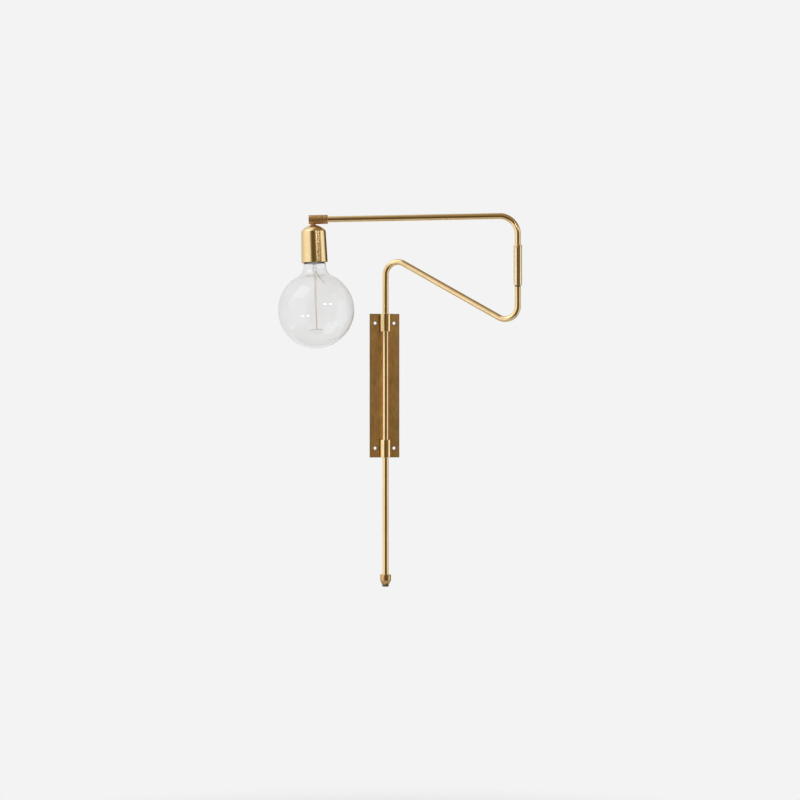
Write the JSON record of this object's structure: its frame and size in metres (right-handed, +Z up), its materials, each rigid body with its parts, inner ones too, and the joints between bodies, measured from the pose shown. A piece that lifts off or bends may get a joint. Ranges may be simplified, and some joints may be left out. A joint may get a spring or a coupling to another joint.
{
  "type": "swing arm wall lamp",
  "caption": "Brass wall lamp: narrow wall plate with two collars, sliding stem, two-part folding tube arm, swivel barrel and a domed cup with a clear globe lamp.",
  "frame": {"origin": "centre of the wall plate's back face, where it lies on the wall", "axes": "+Z up along the plate, +Y into the wall, -Y to the room, +X to the right as seen from the room"},
  "size_m": [0.3943, 0.1319, 0.617],
  "materials": {
    "aged_brass": "aged, vertically brushed",
    "brushed_brass": "brushed round the tube",
    "sleeve_brass": "brushed, lightly pitted",
    "cup_brass": "satin, spun",
    "antique_brass": "antiqued, mottled",
    "gland_brass": "turned, aged",
    "steel": "plain",
    "black_nylon": "moulded",
    "white_nylon": "moulded",
    "grey_rubber": "matt",
    "ceramic": "glazed ceramic",
    "cap_metal": "rolled",
    "clear_glass": "clear, thin",
    "filament": "cream coated strand"
  },
  "bodies": {
    "bracket": {"wall_plate": "aged_brass", "upper_collar": "brushed_brass", "lower_collar": "brushed_brass", "collar_screws": "steel", "drag_screws": "steel"},
    "stem_bushes": {"upper_bush": "white_nylon", "lower_bush": "white_nylon"},
    "lower_arm": {"lower_arm_tube": "brushed_brass", "gland_body": "gland_brass", "gland_grip": "grey_rubber", "gland_screw": "steel", "hinge_spindle": "brushed_brass", "hinge_washer": "black_nylon"},
    "upper_arm": {"hinge_sleeve": "sleeve_brass", "upper_arm_tube": "brushed_brass", "arm_fixing_screw": "antique_brass", "elbow_stop_screw": "steel", "swivel_ring": "antique_brass", "swivel_spindle": "brushed_brass", "swivel_washer": "black_nylon"},
    "head": {"swivel_barrel": "antique_brass", "tilt_stop_screw": "steel", "head_nipple": "antique_brass", "neck_cap": "antique_brass", "nipple_nut": "steel", "holder_cup": "cup_brass", "lampholder_shell": "black_nylon", "terminal_block": "ceramic", "terminal_screws": "steel", "screw_shell": "brushed_brass", "centre_contact": "brushed_brass", "side_contact": "brushed_brass", "bulb_cap": "cap_metal", "bulb_cap_insulator": "black_nylon", "bulb_contact": "steel", "bulb_glass": "clear_glass", "bulb_stem": "clear_glass", "bulb_leads": "steel", "bulb_filament": "filament", "bulb_anchor": "steel"}
  },
  "joints": [
    {"name": "arm_swing", "type": "hinge", "parent": "bracket", "child": "stem_bushes", "pos_m": [0, -0.0116, 0], "axis": [0, 0, 1], "range_deg": [-150.5, 29.5]},
    {"name": "height_slide", "type": "slide", "parent": "stem_bushes", "child": "lower_arm", "axis": [0, 0, 1], "range_m": [-0.06, 0.194]},
    {"name": "elbow_swing", "type": "hinge", "parent": "lower_arm", "child": "upper_arm", "pos_m": [0.20018, -0.12486, 0.1967], "axis": [0, 0, 1], "range_deg": [-1.5, 322.5]},
    {"name": "head_tilt", "type": "hinge", "parent": "upper_arm", "child": "head", "pos_m": [-0.12967, -0.0667, 0.27107], "axis": [-0.9846, 0.1736, -0.0192], "range_deg": [-90, 90]}
  ]
}
